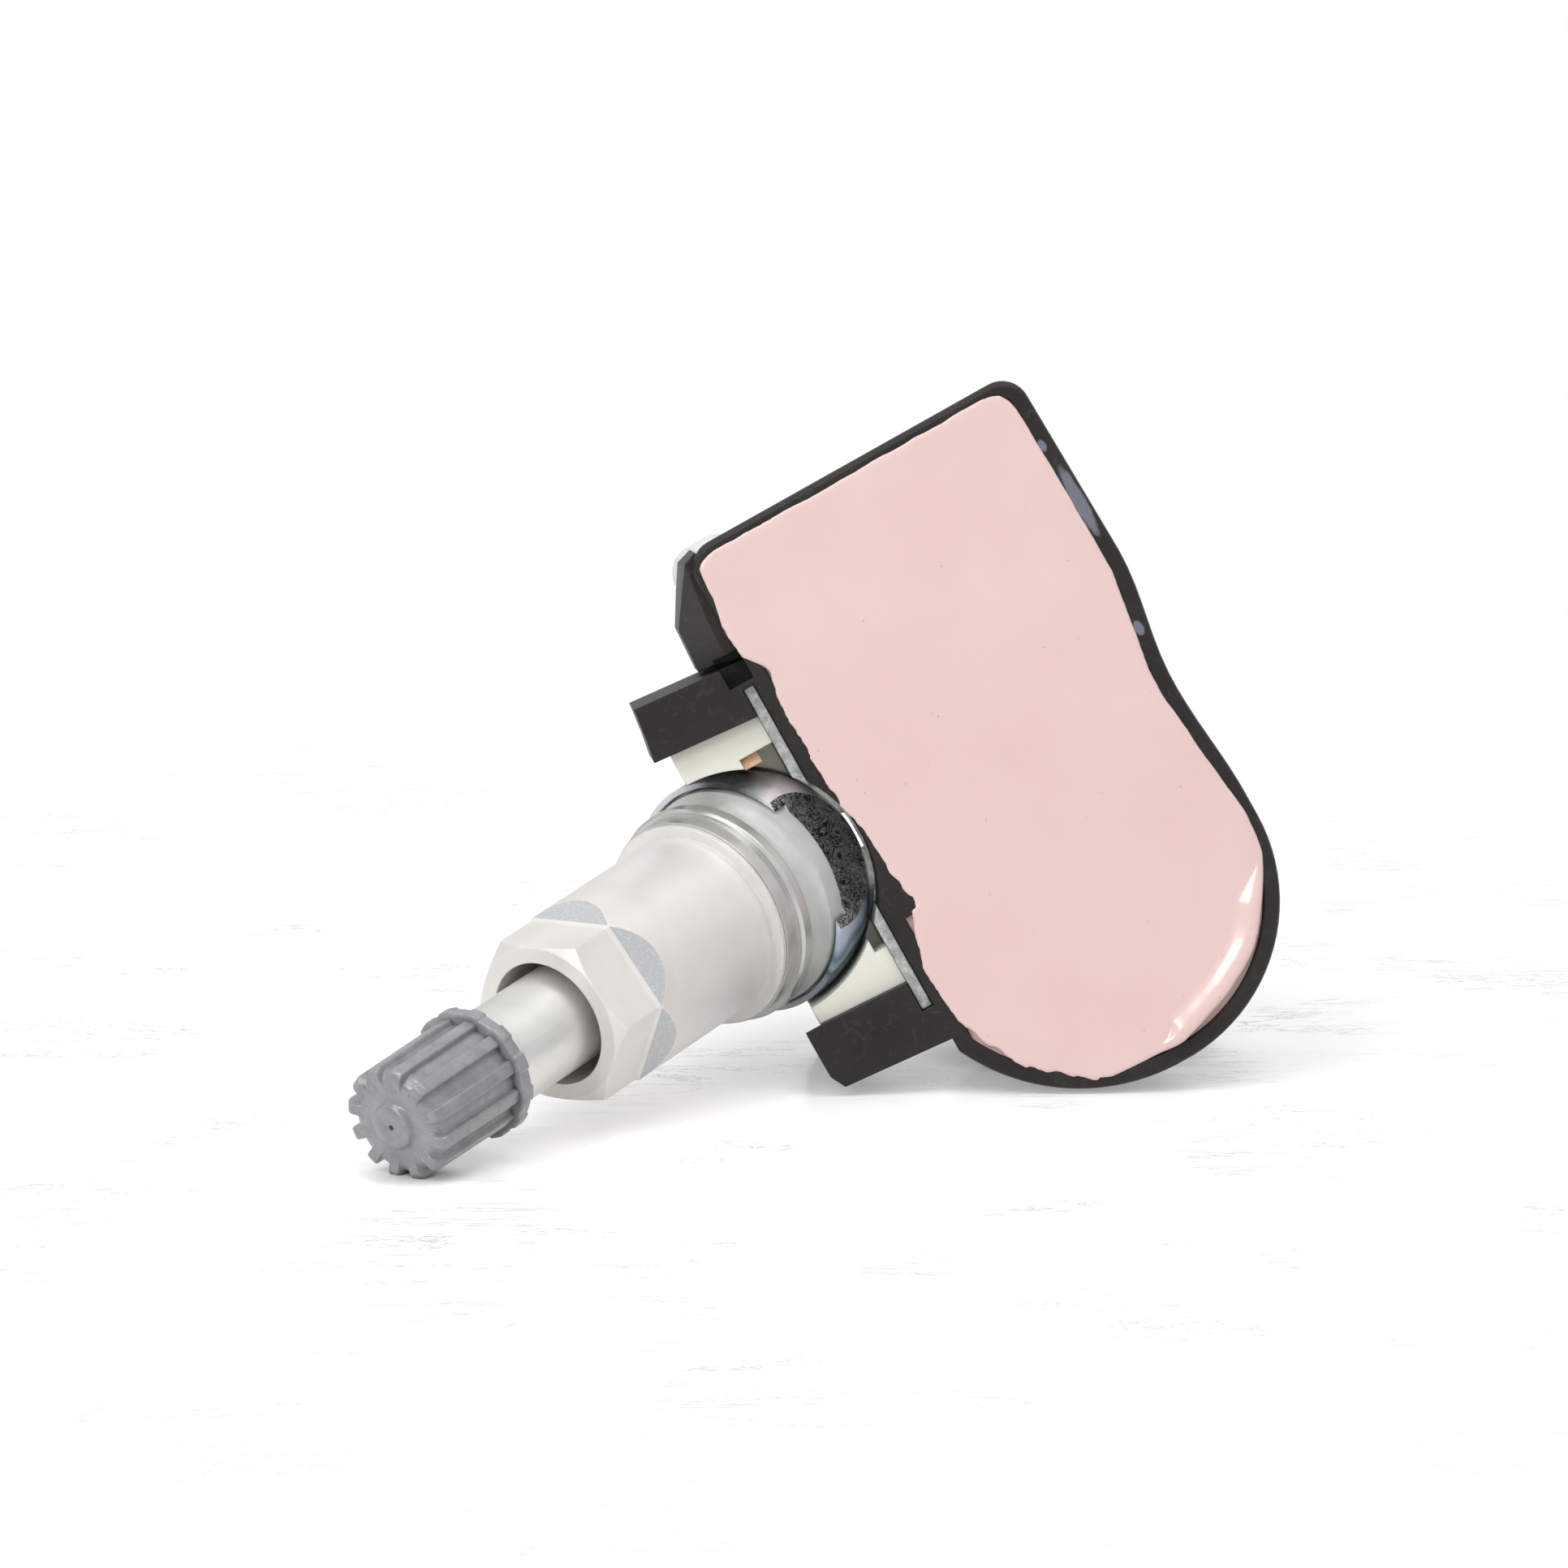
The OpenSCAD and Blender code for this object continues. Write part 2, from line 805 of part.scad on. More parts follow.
// Hollow stem from the collar to the cap
module valve_stem() {
    color("#c9cac8")
    on_valve()
        difference() {
            union() {
                translate([0, 0, socket_s + eps])
                    cylinder(r = root_bore_r - 0.01, h = cup_s - socket_s, $fn = fine);
                translate([0, 0, cup_s + eps])
                    cylinder(r = flange_r, h = flange_s - cup_s, $fn = fine);
                cylinder(r = root_r, h = root_top_s, $fn = fine);
                cylinder(r = stem_r, h = thread_s, $fn = fine);
                cylinder(r = thread_r, h = stem_top_s - stem_chamfer, $fn = fine);
                translate([0, 0, stem_top_s - stem_chamfer])
                    cylinder(r1 = thread_r, r2 = thread_r - stem_chamfer, h = stem_chamfer, $fn = fine);
            }
            translate([0, 0, socket_s - 1])
                cylinder(r = air_r, h = core_bore_s, $fn = small);
            translate([0, 0, core_bore_s - 6])
                cylinder(r = core_bore_r, h = 20, $fn = small);
            translate([0, 0, head_bore_s])
                cylinder(r = head_bore_r, h = 10, $fn = small);
        }
}

// Rubber grommet with a flange in the collar's cup and a coved neck
module grommet() {
    color("#bfc1bd")
    on_valve()
        rotate_extrude($fn = fine)
            difference() {
                union() {
                    translate([flange_r + seat_gap, cup_s + seat_gap])
                        square([grommet_r - flange_r - seat_gap, washer_s - cup_s - 2 * seat_gap]);
                    translate([root_r + seat_gap, flange_s + seat_gap])
                        square([grommet_r - root_r - 1, washer_s - flange_s - 2 * seat_gap]);
                }
                translate([grommet_r + 0.15, (rim_s + 0.4 + washer_s) / 2])
                    circle(r = cove_r, $fn = small);
                translate([grommet_top_r, (rim_s + 0.4 + washer_s) / 2 + 0.5])
                    square([2, 2]);
            }
}

// Stepped washer held captive under the nut
module seal_washer() {
    color("#b4b6b5")
    on_valve()
        rotate_extrude($fn = fine)
            polygon([
                [root_r + 0.15, washer_s],
                [washer_r - washer_edge, washer_s],
                [washer_r, washer_s + washer_edge],
                [washer_r, washer_step_s - washer_edge],
                [washer_r - 0.15, washer_step_s],
                [washer_step_r, washer_step_s],
                [washer_step_r, nut_s - 0.02],
                [root_r + 0.15, nut_s - 0.02]
            ]);
}

// One cut that leaves a flat with a slanted run-out
module nut_flat() {
    rotate([90, 0, 0])
        linear_extrude(height = 20, center = true)
            polygon([
                [nut_af / 2, nut_top_s + 1],
                [nut_af / 2, nut_top_s - flat_l],
                [nut_af / 2 + run_rise, nut_top_s - flat_l - run_out],
                [nut_af / 2 + 3, nut_top_s - flat_l - run_out],
                [nut_af / 2 + 3, nut_top_s + 1]
            ]);
}

// Sleeve nut that clamps the wheel's rim between itself and the grommet
module sleeve_nut() {
    color("#cfcdc9")
    on_valve()
        difference() {
            union() {
                translate([0, 0, nut_s])
                    cylinder(r = nut_flange_r, h = nut_flange_t, $fn = fine);
                translate([0, 0, nut_s])
                    cylinder(r = sleeve_r, h = nut_top_s - nut_s - nut_chamfer, $fn = fine);
                translate([0, 0, nut_top_s - nut_chamfer])
                    cylinder(r1 = sleeve_r, r2 = nut_af / 2, h = nut_chamfer, $fn = fine);
            }
            for (i = [0:5])
                rotate([0, 0, nut_turn + 60 * i])
                    nut_flat();
            translate([0, 0, nut_s - 1])
                cylinder(r = root_r + thread_gap, h = nut_thread_top_s - nut_s + 2, $fn = fine);
            translate([0, 0, nut_thread_top_s])
                cylinder(r = nut_bore_r, h = 20, $fn = fine);
        }
}

// Screwed barrel of the valve core
module core_body() {
    color("#c9a24a")
    on_valve()
        difference() {
            union() {
                translate([0, 0, core_low_s])
                    cylinder(r = core_barrel_r, h = core_head_s - core_low_s, $fn = small);
                translate([0, 0, head_bore_s + 0.05])
                    cylinder(r = core_head_r, h = core_head_s - head_bore_s, $fn = small);
            }
            translate([0, 0, core_low_s - 1])
                cylinder(r = pin_hole_r, h = 10, $fn = small);
            translate([0, 0, core_low_s + core_ledge])
                cylinder(r = core_inner_r, h = 12, $fn = small);
        }
}

// Seal ring round the core's barrel
module core_seal() {
    color("#b23b2e")
    on_valve()
        translate([0, 0, core_low_s + 2])
            difference() {
                cylinder(r = seal_r, h = 1.4, $fn = small);
                translate([0, 0, -1])
                    cylinder(r = core_barrel_r + 0.01, h = 4, $fn = small);
            }
}

// Pin that opens the core when it is pressed in
module core_pin() {
    color("#d6b35a")
    on_valve() {
        translate([0, 0, pin_low_s])
            cylinder(r = pin_r, h = pin_top_s - pin_low_s, $fn = small);
        translate([0, 0, pin_low_s])
            cylinder(r = 2.2 * pin_r, h = 0.3, $fn = small);
        translate([0, 0, head_bore_s])
            cylinder(r = pin_flare_r, h = pin_flare_t, $fn = small);
    }
}

// Rubber disc on the pin that closes the barrel's lower end
module pin_seal() {
    color("#2b2b2b")
    on_valve()
        translate([0, 0, pin_low_s + 0.32])
            difference() {
                cylinder(r = 1.5, h = 0.95, $fn = small);
                translate([0, 0, -1])
                    cylinder(r = pin_r + 0.01, h = 4, $fn = small);
            }
}

// Points of one ring of the spring's wire
function ring(t) = [
    for (k = [0:spring_sides - 1])
        let (a = 360 * k / spring_sides, r = spring_r + wire_r * cos(a))
            [r * cos(t), r * sin(t), spring_s0 + (spring_s1 - spring_s0) * t / (360 * spring_turns) + wire_r * sin(a)]
];

module core_spring() {
    rings = spring_turns * spring_steps;
    points = [for (i = [0:rings]) each ring(i * 360 / spring_steps)];
    sides = [
        for (i = [0:rings - 1])
            for (k = [0:spring_sides - 1])
                let (n = (k + 1) % spring_sides, a = i * spring_sides, b = a + spring_sides)
                    [a + k, b + k, b + n, a + n]
    ];
    first = [for (k = [0:spring_sides - 1]) k];
    last = [for (k = [spring_sides - 1:-1:0]) rings * spring_sides + k];
    color("#9a9a98")
    on_valve()
        polyhedron(points = points, faces = concat(sides, [first], [last]));
}

// Radius of the cap's shell at its nose
cap_nose_r = cap_r - cap_taper;

// Half section of the cap's plain shell, which falls away under the ribs' ends
module cap_profile() {
    polygon(concat(
        [[0, cap_s], [cap_r, cap_s]],
        arc(cap_nose_r - cap_valley, cap_nose_s - cap_valley, cap_valley, 0, 90, arc_steps),
        [[0, cap_nose_s]]
    ));
}

// Half section through a rib, with its tight round end
module rib_profile() {
    polygon(concat(
        [[boss_r, rib_s], [cap_r + rib_h, rib_s]],
        arc(cap_nose_r + rib_nose_h - rib_round, cap_nose_s + rib_more - rib_round, rib_round, 0, 90, arc_steps),
        [[cap_nose_r - cap_valley, cap_nose_s - eps], [boss_r, cap_nose_s - cap_valley]]
    ));
}

// Ribbed cap with a lugged mouth and a small boss on its nose
module cap() {
    color("#97999b")
    on_valve()
        difference() {
            union() {
                rotate_extrude($fn = fine)
                    cap_profile();
                translate([0, 0, cap_s])
                    cylinder(r = cap_mouth_r, h = cap_mouth_h, $fn = fine);
                for (i = [0:lug_n - 1])
                    rotate([0, 0, 360 * i / lug_n])
                        translate([cap_mouth_r + lug_r - 1, -lug_w / 2, cap_s + lug_in])
                            cube([1, lug_w, cap_mouth_h - 2 * lug_in]);
                for (i = [0:rib_n - 1])
                    rotate([90, 0, 360 * i / rib_n])
                        linear_extrude(height = rib_w, center = true)
                            rib_profile();
                translate([0, 0, cap_nose_s - 1])
                    cylinder(r = boss_r, h = cap_top_s - cap_nose_s + 1, $fn = small);
            }
            translate([0, 0, cap_s - 1])
                cylinder(r = cap_wall_bore, h = stem_top_s + gasket_t + 1 - cap_s + 0.1, $fn = fine);
            translate([0, 0, cap_top_s - pip_d])
                cylinder(r = pip_r, h = 2, $fn = small);
        }
}

// Rubber ring that seals the cap on the stem's end
module cap_gasket() {
    color("#3a3a3a")
    on_valve()
        translate([0, 0, stem_top_s + 0.03])
            difference() {
                cylinder(r = cap_wall_bore - 0.03, h = gasket_t, $fn = small);
                translate([0, 0, -1])
                    cylinder(r = gasket_in, h = 3, $fn = small);
            }
}

placed() housing();
placed() potting();
placed() rest_pad();
placed() circuit_board();
placed() coin_cell();
placed() cell_tab_upper();
placed() cell_tab_lower();
placed() sensor_chip();
placed() antenna_core();
placed() antenna_winding();
placed() timing_crystal();
placed() seat_pad_upper();
placed() seat_pad_lower();
placed() retaining_plate();
placed() contact_spring();
placed() collar();
placed() tee_bolt();
placed() valve_stem();
placed() grommet();
placed() seal_washer();
placed() sleeve_nut();
placed() core_body();
placed() core_seal();
placed() core_pin();
placed() pin_seal();
placed() core_spring();
placed() cap();
placed() cap_gasket();
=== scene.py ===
import math
import random

import bmesh
import bpy
from mathutils import Matrix, Vector


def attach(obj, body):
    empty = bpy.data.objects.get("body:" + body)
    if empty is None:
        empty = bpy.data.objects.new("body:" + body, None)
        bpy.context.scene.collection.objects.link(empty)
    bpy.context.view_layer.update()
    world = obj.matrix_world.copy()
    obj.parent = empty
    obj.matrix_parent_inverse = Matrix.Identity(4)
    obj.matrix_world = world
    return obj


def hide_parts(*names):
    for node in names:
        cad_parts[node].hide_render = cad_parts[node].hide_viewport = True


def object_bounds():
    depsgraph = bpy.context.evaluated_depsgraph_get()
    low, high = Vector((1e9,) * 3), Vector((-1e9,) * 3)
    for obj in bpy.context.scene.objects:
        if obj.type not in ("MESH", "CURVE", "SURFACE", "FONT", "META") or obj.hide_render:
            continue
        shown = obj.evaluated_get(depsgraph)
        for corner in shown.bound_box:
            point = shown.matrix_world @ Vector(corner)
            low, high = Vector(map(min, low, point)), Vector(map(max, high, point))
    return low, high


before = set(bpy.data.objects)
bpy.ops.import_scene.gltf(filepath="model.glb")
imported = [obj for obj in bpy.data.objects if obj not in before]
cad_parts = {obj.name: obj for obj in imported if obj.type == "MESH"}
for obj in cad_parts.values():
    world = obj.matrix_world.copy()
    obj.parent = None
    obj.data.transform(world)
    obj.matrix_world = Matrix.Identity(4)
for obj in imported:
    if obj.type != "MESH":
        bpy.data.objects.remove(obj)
CAD_BOX = [list(v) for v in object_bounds()]

# Axes. Shapes are written in mm in the housing's or the valve's own axes, the same as in part.scad.
# The frame's origin is the valve's seat on the rim.
MM = 0.001
FACE_TILT, LEAN, VALVE_TILT = 8.5, 28.9, 45.5
SEAT_S = 3.2
HOUSE_ROT = (Matrix.Rotation(math.radians(90 - FACE_TILT), 4, "X")
             @ Matrix.Rotation(math.radians(LEAN), 4, "Z"))
VALVE_ROT = Matrix.Rotation(math.radians(VALVE_TILT - 90), 4, "Y")
SEAT = VALVE_ROT @ Vector((0, 0, SEAT_S))
HOUSE = Matrix.Scale(MM, 4) @ HOUSE_ROT @ Matrix.Translation(-SEAT)
VALVE = HOUSE @ VALVE_ROT
BALL = HOUSE @ Vector((0, 0, 0))
RIM_Z = 6.5
FLOOR_Z = CAD_BOX[0][2]

rng = random.Random(7)


# Materials
MIX_A, MIX_B, MIX_OUT = 6, 7, 2


def srgb(text):
    """Linear colour of a hex colour."""
    c = [int(text[i:i + 2], 16) / 255 for i in (0, 2, 4)]
    return tuple(x / 12.92 if x <= 0.04045 else ((x + 0.055) / 1.055) ** 2.4 for x in c)


class Tree:
    """Short way to write the nodes of a material or of the world."""

    def __init__(self, owner, output="ShaderNodeOutputMaterial"):
        owner.use_nodes = True
        self.owner = owner
        self.nt = owner.node_tree
        self.nt.nodes.clear()
        self.out = self.add(output)
        self.coord = self.add("ShaderNodeTexCoord")
        self.pos = self.coord.outputs["Object"]

    def add(self, kind, props=None, **ins):
        n = self.nt.nodes.new(kind)
        for k, v in (props or {}).items():
            setattr(n, k, v)
        for k, v in ins.items():
            self.put(n.inputs[k.replace("_", " ")], v)
        return n

    def put(self, socket, v):
        if isinstance(v, bpy.types.NodeSocket):
            self.nt.links.new(v, socket)
        elif isinstance(v, tuple) and socket.type == "RGBA":
            socket.default_value = (*v, 1)
        else:
            socket.default_value = v

    def math(self, op, a, b=0.0):
        n = self.add("ShaderNodeMath", {"operation": op})
        self.put(n.inputs[0], a)
        self.put(n.inputs[1], b)
        return n.outputs[0]

    def plus(self, a, b):
        return self.math("ADD", a, b)

    def minus(self, a, b):
        return self.math("SUBTRACT", a, b)

    def times(self, a, b):
        return self.math("MULTIPLY", a, b)

    def dot(self, a, b):
        n = self.add("ShaderNodeVectorMath", {"operation": "DOT_PRODUCT"})
        self.put(n.inputs[0], a)
        self.put(n.inputs[1], b)
        return n.outputs["Value"]

    def facing(self, matrix, axis):
        """How far the surface faces along an axis of the housing or the valve."""
        way = (matrix.to_3x3() @ Vector(axis)).normalized()
        return self.dot(self.coord.outputs["Normal"], tuple(way))

    def noise(self, size_mm, detail=3.0, rough=0.55, distortion=0.0):
        n = self.add("ShaderNodeTexNoise", Vector=self.pos, Scale=1 / (size_mm * MM),
                     Detail=detail, Roughness=rough, Distortion=distortion)
        return n.outputs["Fac"]

    def cells(self, size_mm):
        n = self.add("ShaderNodeTexVoronoi", Vector=self.pos, Scale=1 / (size_mm * MM))
        return n.outputs["Distance"]

    def ramp(self, fac, *stops):
        n = self.add("ShaderNodeValToRGB")
        self.put(n.inputs["Fac"], fac)
        elements = n.color_ramp.elements
        while len(elements) < len(stops):
            elements.new(0.5)
        for e, (position, colour) in zip(elements, stops):
            e.position = position
            e.color = (*colour, 1)
        return n.outputs["Color"]

    def level(self, fac, lo, hi, at=(0.0, 1.0)):
        """Map a value in the window `at` to lo to hi, held there beyond the window."""
        n = self.add("ShaderNodeMapRange")
        for name, v in (("Value", fac), ("From Min", at[0]), ("From Max", at[1]),
                        ("To Min", lo), ("To Max", hi)):
            self.put(n.inputs[name], v)
        return n.outputs["Result"]

    def mix(self, fac, a, b):
        n = self.add("ShaderNodeMix", {"data_type": "RGBA"})
        self.put(n.inputs[0], fac)
        self.put(n.inputs[MIX_A], a)
        self.put(n.inputs[MIX_B], b)
        return n.outputs[MIX_OUT]

    def two_tone(self, fac, a, b, at=(0.3, 0.7)):
        """Two hex colours in clouds."""
        return self.mix(self.level(fac, 0, 1, at), srgb(a), srgb(b))

    def hairlines(self, noise, width):
        """Thin lines where a noise passes its middle."""
        return self.level(self.math("ABSOLUTE", self.minus(noise, 0.5)), 1, 0, (0.0, width))

    def frame_pos(self, matrix):
        """Position in mm in the housing's or the valve's own axes, as a vector and in parts."""
        inv = matrix.inverted()
        parts = [self.plus(self.dot(self.pos, tuple(inv[i][:3])), inv[i][3]) for i in range(3)]
        c = self.add("ShaderNodeCombineXYZ")
        for i in range(3):
            self.put(c.inputs[i], parts[i])
        return c.outputs[0], parts

    def reach(self, x, y, spot):
        """Squared distance from a spot's middle, with its half sizes as the unit."""
        mx, my, half_x, half_y = spot
        dx = self.math("DIVIDE", self.minus(x, mx), half_x)
        dy = self.math("DIVIDE", self.minus(y, my), half_y)
        return self.plus(self.times(dx, dx), self.times(dy, dy))

    def bump(self, height, distance_mm, strength=1.0, normal=None):
        n = self.add("ShaderNodeBump", Height=height, Distance=distance_mm * MM, Strength=strength)
        if normal is not None:
            self.put(n.inputs["Normal"], normal)
        return n.outputs["Normal"]

    def bevel(self, radius_mm):
        return self.add("ShaderNodeBevel", {"samples": 4}, Radius=radius_mm * MM).outputs["Normal"]

    def blend(self, fac, a, b):
        n = self.add("ShaderNodeMixShader")
        for socket, v in zip(n.inputs, (fac, a.outputs[0], b.outputs[0])):
            self.put(socket, v)
        return n

    def show(self, shader):
        self.put(self.out.inputs["Surface"], shader.outputs[0])
        return self.owner

    def surface(self, color, rough, metal=0.0, normal=None, **more):
        p = self.add("ShaderNodeBsdfPrincipled", Base_Color=color, Roughness=rough,
                     Metallic=metal, **more)
        if normal is not None:
            self.put(p.inputs["Normal"], normal)
        return self.show(p)


def material(name):
    return Tree(bpy.data.materials.new(name))


# Dried patches of clear compound on the rim: middle and half size in the housing's axes.
GEL_SPOTS = [(35.65, 13.7, 0.5, 2.9), (35.25, 18.6, 0.3, 0.5), (34.95, 3.3, 0.35, 0.6),
             (8.45, 18.1, 0.4, 0.9)]
GEL_DEPTH = 1.2


def gel_patches(t):
    """Where the patches lie, ragged at their edges and only near the rim."""
    _, (x, y, z) = t.frame_pos(HOUSE)
    wobble = t.times(t.minus(t.noise(0.8, 3), 0.5), 0.9)
    out = 0.0
    for spot in GEL_SPOTS:
        near = t.level(t.plus(t.reach(x, y, spot), wobble), 1, 0, (0.6, 1.2))
        out = t.math("MAXIMUM", near, out)
    return t.times(out, t.math("GREATER_THAN", z, RIM_Z - GEL_DEPTH))


def black_plastic():
    t = material("black_moulded")
    grain = t.noise(0.12, 2)
    base = t.two_tone(t.noise(6, 4), "171514", "272422")
    scuff = t.noise(1.2, 6, 0.7, distortion=1.5)
    base = t.mix(t.level(scuff, 0, 0.32, (0.56, 0.75)), base, srgb("595551"))
    gel = gel_patches(t)
    base = t.mix(gel, base, srgb("737682"))
    rough = t.minus(t.level(grain, 0.42, 0.6), t.times(gel, 0.25))
    flow = t.noise(2.5, 2)
    n = t.bump(t.plus(t.times(grain, 0.35), flow), 0.05, 0.5, t.bevel(0.18))
    return t.surface(base, rough, 0, n, Specular_IOR_Level=0.32)


def pink_resin():
    t = material("pink_resin")
    base = t.two_tone(t.noise(9, 3), "e7c8c3", "eccfcb", (0.25, 0.75))
    pit = t.level(t.cells(1.25), 1, 0, (0.02, 0.075))
    pit = t.times(pit, t.level(t.noise(3, 2), 0, 1, (0.5, 0.56)))
    base = t.mix(t.times(pit, 0.7), base, srgb("a98882"))
    wave = t.noise(14, 1)
    n = t.bump(t.minus(t.times(wave, 2.5), pit), 0.05, 0.6)
    return t.surface(base, t.level(t.noise(4, 3), 0.13, 0.2), 0, n, Subsurface_Weight=0.12,
                     Subsurface_Radius=(0.0012, 0.0006, 0.0005), Subsurface_Scale=1.0,
                     Coat_Weight=0.2, Coat_Roughness=0.08)


def pale_moulded(name, a, b, rough, sss=0.15):
    t = material(name)
    base = t.two_tone(t.noise(3, 4), a, b)
    n = t.bump(t.noise(0.15, 2), 0.02, 0.4, t.bevel(0.15))
    return t.surface(base, t.level(t.noise(0.8, 2), rough - 0.06, rough + 0.08), 0, n,
                     Subsurface_Weight=sss, Subsurface_Radius=(0.001, 0.001, 0.0007),
                     Subsurface_Scale=1.0)


def sheet_steel():
    t = material("sheet_steel")
    mottle = t.noise(0.7, 4, 0.7)
    base = t.two_tone(mottle, "9b9e9b", "d3d5d0", (0.35, 0.65))
    n = t.bump(t.noise(0.25, 3), 0.03, 0.5, t.bevel(0.12))
    return t.surface(base, t.level(mottle, 0.3, 0.5), 0.85, n)


# Painted reflection on the chrome, as colours by the angle round the valve in degrees, after what
# it mirrors in the photo.
PAINTED_REFLECTION_BANDS = [
    (-100, "b9c0c8"), (-66, "a7b3c0"), (-60, "66727e"), (-56, "b3c4d3"), (-49, "7489a0"),
    (-42, "bcc8dc"), (-26, "e0e4f4"), (-12, "f2f2f8"), (16, "f4f2f6"), (24, "fff3f3"),
    (41, "f3e8e9"), (46, "aaacae"), (53, "6c6f72"), (58, "3c3e40"), (72, "5f6367"),
    (79, "a9b0b8"), (92, "d9dee3"), (140, "d3d8dd"),
]
BAND_SLANT, BAND_WAVE = 2.5, 16
FLAT_FACING = 0.985


def chrome():
    t = material("bright_chrome")
    pos, (x, y, z) = t.frame_pos(VALVE)
    flat = t.math("GREATER_THAN", t.math("ABSOLUTE", t.facing(VALVE, (1, 0, 0))), FLAT_FACING)
    turn = t.times(t.math("ARCTAN2", y, x), 180 / math.pi)
    wave = t.times(t.minus(t.noise(3.5, 2), 0.5), BAND_WAVE)
    turn = t.plus(t.plus(turn, t.times(z, BAND_SLANT)), wave)
    lo, hi = PAINTED_REFLECTION_BANDS[0][0], PAINTED_REFLECTION_BANDS[-1][0]
    # Painted reflection: the bands set the base colour by the angle round the valve.
    painted_reflection = t.ramp(t.level(turn, 0, 1, (lo, hi)),
                  *[((d - lo) / (hi - lo), srgb(c)) for d, c in PAINTED_REFLECTION_BANDS])
    smear = t.noise(0.9, 5, 0.7, distortion=2.2)
    painted_reflection = t.mix(t.level(smear, 0, 0.35, (0.5, 0.75)), painted_reflection, srgb("8b9096"))
    cloud = t.noise(2.4, 4, 0.65, distortion=1.0)
    dark = t.two_tone(cloud, "2a2a2a", "8b8d8a", (0.45, 0.72))
    lines = t.add("ShaderNodeTexNoise", Vector=pos, Scale=0.55, Detail=5.0, Roughness=0.75,
                  Distortion=4.0).outputs["Fac"]
    scratch = t.hairlines(lines, 0.035)
    dark = t.mix(t.times(scratch, 0.95), dark, srgb("e3e5e2"))
    metal = t.plus(0.08, t.times(flat, 0.1))
    rough = t.plus(t.times(flat, 0.2), t.level(t.noise(3, 3), 0.1, 0.18))
    n = t.bump(t.times(scratch, flat), 0.02, 0.5, t.bevel(0.1))
    return t.surface(t.mix(flat, painted_reflection, dark), rough, metal, n)


# The nut's flats run out in crescents between these lengths along the valve.
RUN_OUT_FROM, RUN_OUT_TO = 8.0, 20.0


def milled_marks(t, base, z, tone):
    """The milled run-outs of the nut's flats, which face the tip, with painted glints, and a
    painted highlight along its worn corners.
    """
    run_out = t.times(t.level(t.facing(VALVE, (0, 0, 1)), 0, 1, (0.08, 0.14)),
                      t.math("LESS_THAN", z, RUN_OUT_TO))
    run_out = t.times(run_out, t.math("GREATER_THAN", z, RUN_OUT_FROM))
    # Painted glints on the run-outs.
    glint = t.level(t.noise(0.16, 2), 0, 0.8, (0.5, 0.75))
    base = t.mix(run_out, base, t.mix(glint, srgb(tone), srgb("d6d8d8")))
    # Painted highlight: the worn corners, found by the bevel's bend, go near white.
    corner = t.dot(t.bevel(0.14), t.add("ShaderNodeNewGeometry").outputs["Normal"])
    worn_edge_highlight = t.times(t.level(corner, 1, 0, (0.93, 0.985)),
                   t.level(t.noise(0.7, 3), 0.25, 1, (0.42, 0.6)))
    return t.mix(worn_edge_highlight, base, srgb("fffefd"))


def turned(name, a, b, rough, metal, ring_mm=0.12, bevel_mm=0.12, grit=0.0, milled=None):
    """Metal turned or blasted about the valve's axis."""
    t = material(name)
    _, (_, _, z) = t.frame_pos(VALVE)
    along = t.add("ShaderNodeCombineXYZ", Z=z).outputs[0]
    rings = t.add("ShaderNodeTexNoise", Vector=along, Scale=1 / ring_mm, Detail=2.0).outputs["Fac"]
    cloud = t.noise(4, 3)
    base = t.two_tone(cloud, a, b)
    sand = t.noise(0.14, 2)
    if milled:
        base = milled_marks(t, base, z, milled)
    h = t.plus(t.times(rings, 1 - grit), t.times(sand, grit))
    n = t.bump(h, 0.012, 0.5, t.bevel(bevel_mm))
    return t.surface(base, t.level(cloud, rough - 0.04, rough + 0.05), metal, n)


def rubber(name, a, b, rough):
    t = material(name)
    base = t.two_tone(t.noise(2.5, 4), a, b)
    n = t.bump(t.noise(0.2, 3), 0.02, 0.5)
    return t.surface(base, t.level(t.noise(1, 2), rough - 0.05, rough + 0.08), 0, n,
                     Subsurface_Weight=0.05, Subsurface_Radius=(0.0008, 0.0008, 0.0007),
                     Subsurface_Scale=1.0)


def cap_plastic():
    """Grey plastic, with painted shade darkening the grooves between the ribs."""
    t = material("grey_cap")
    base = t.two_tone(t.noise(1.4, 5, 0.65), "7d7f81", "97999b")
    # Painted shade: ambient occlusion darkens the base colour in the grooves.
    ao = t.add("ShaderNodeAmbientOcclusion", {"samples": 8}, Distance=0.5 * MM)
    base = t.mix(t.level(ao.outputs["AO"], 0.75, 0, (0.35, 0.85)), base, srgb("4d4f52"))
    n = t.bump(t.noise(0.4, 3), 0.03, 0.25)
    return t.surface(base, t.level(t.noise(0.9, 3), 0.17, 0.32), 0, n, Specular_IOR_Level=0.8)


def simple(name, a, b, rough, metal=0.0, size=1.2):
    """Plain finish of the hidden pieces."""
    t = material(name)
    base = t.two_tone(t.noise(size, 4), a, b)
    n = t.bump(t.noise(size / 6, 2), 0.02, 0.4)
    return t.surface(base, t.level(t.noise(size * 2, 2), rough - 0.05, rough + 0.05), metal, n)


